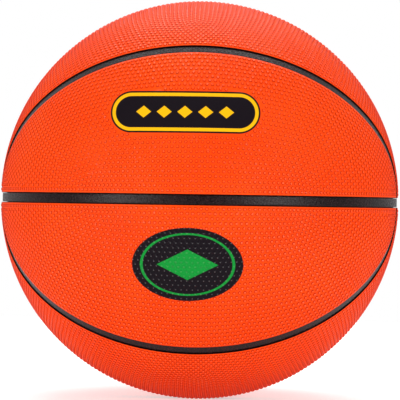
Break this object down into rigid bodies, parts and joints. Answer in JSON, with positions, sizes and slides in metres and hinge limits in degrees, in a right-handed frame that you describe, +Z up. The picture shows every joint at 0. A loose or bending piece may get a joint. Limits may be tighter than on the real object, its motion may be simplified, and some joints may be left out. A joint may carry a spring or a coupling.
{
  "type": "basketball",
  "caption": "Inflated rubber ball for bouncing and throwing, with a pebbled cover of separate panels, recessed black channels and a needle valve.",
  "frame": {"origin": "centre of the ball", "axes": "+Z up, square to the plane of the equator channel; the front loop's middle faces -Y and the valve is on the +Y side; +X towards the right of the picture, where the equator and the meridian channels cross"},
  "size_m": [0.2408, 0.2408, 0.2408],
  "materials": {
    "cover_rubber": "moulded rubber with small round pebbles, satin",
    "channel_rubber": "black rubber, finely grained, satin",
    "carcass_rubber": "dull calendered rubber",
    "nylon_thread": "wound thread, dull",
    "butyl_rubber": "smooth dull rubber",
    "valve_rubber": "smooth moulded rubber, satin"
  },
  "bodies": {
    "root": {"panel_front_upper_inner": "cover_rubber", "panel_front_lower_inner": "cover_rubber", "panel_front_upper_outer": "cover_rubber", "panel_front_lower_outer": "cover_rubber", "panel_back_upper_inner": "cover_rubber", "panel_back_lower_inner": "cover_rubber", "panel_back_upper_outer": "cover_rubber", "panel_back_lower_outer": "cover_rubber", "channel_equator": "channel_rubber", "channel_meridian_upper": "channel_rubber", "channel_meridian_lower": "channel_rubber", "channel_loop_front_upper": "channel_rubber", "channel_loop_front_lower": "channel_rubber", "channel_loop_back_upper": "channel_rubber", "channel_loop_back_lower": "channel_rubber", "carcass_valve_half": "carcass_rubber", "carcass_plain_half": "carcass_rubber", "thread_winding": "nylon_thread", "bladder": "butyl_rubber", "valve_patch": "butyl_rubber", "valve_housing": "valve_rubber", "valve_core": "valve_rubber"}
  },
  "joints": []
}
